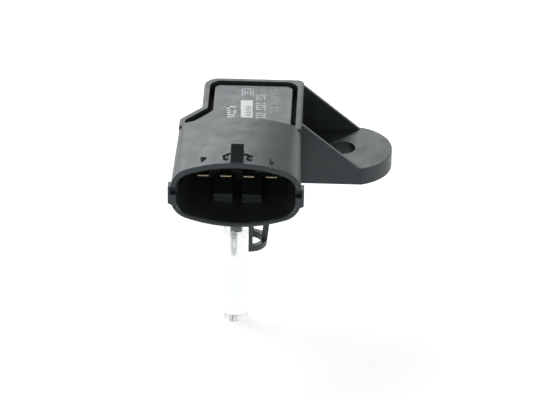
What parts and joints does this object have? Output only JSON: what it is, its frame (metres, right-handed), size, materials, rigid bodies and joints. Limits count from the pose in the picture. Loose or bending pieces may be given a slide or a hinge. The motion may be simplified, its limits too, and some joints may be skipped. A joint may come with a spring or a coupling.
{
  "type": "manifold pressure and temperature sensor",
  "caption": "Black plastic manifold pressure sensor with an oval plug collar, a one-screw flange and a caged temperature probe below its port.",
  "frame": {"origin": "centre of the port in the plane of the flange's underside", "axes": "+X from the port to the screw hole, +Y away from the plug socket, +Z out of the manifold"},
  "size_m": [0.0485, 0.0439, 0.0473],
  "materials": {
    "housing_moulding": "black glass-filled plastic with a fine satin skin",
    "cover_moulding": "black glass-filled plastic with a fine satin skin",
    "sealant": "cured black sealant",
    "contact_metal": "tin-plated strip, dull",
    "board_laminate": "green glass laminate",
    "chip_resin": "moulded black resin",
    "capacitor_ceramic": "fired tan ceramic",
    "solder": "bright solder",
    "cell_moulding": "dark moulded resin",
    "adhesive": "grey silicone glue",
    "pedestal_glass": "ground glass",
    "silicon": "polished silicon",
    "bond_wire": "drawn aluminium wire",
    "gel": "soft clear gel",
    "bead_glass": "amber glass bead",
    "lead_wire": "tinned wire",
    "potting": "cured black resin",
    "seal_rubber": "moulded rubber",
    "clear_acrylic": "clear cast plastic, polished",
    "peg_plastic": "dark plastic"
  },
  "bodies": {
    "root": {"housing": "housing_moulding", "cover": "cover_moulding", "cover_sealant": "sealant", "terminal_1": "contact_metal", "terminal_2": "contact_metal", "terminal_3": "contact_metal", "terminal_4": "contact_metal", "circuit_board": "board_laminate", "signal_chip": "chip_resin", "capacitors": "capacitor_ceramic", "solder_joints": "solder", "sensor_cell": "cell_moulding", "cell_adhesive": "adhesive", "glass_pedestal": "pedestal_glass", "pressure_die": "silicon", "bond_wires": "bond_wire", "protective_gel": "gel", "thermistor_bead": "bead_glass", "thermistor_lead_right": "lead_wire", "thermistor_lead_left": "lead_wire", "lead_potting": "potting", "o_ring": "seal_rubber", "clear_rod": "clear_acrylic", "rod_pin": "peg_plastic"}
  },
  "joints": []
}
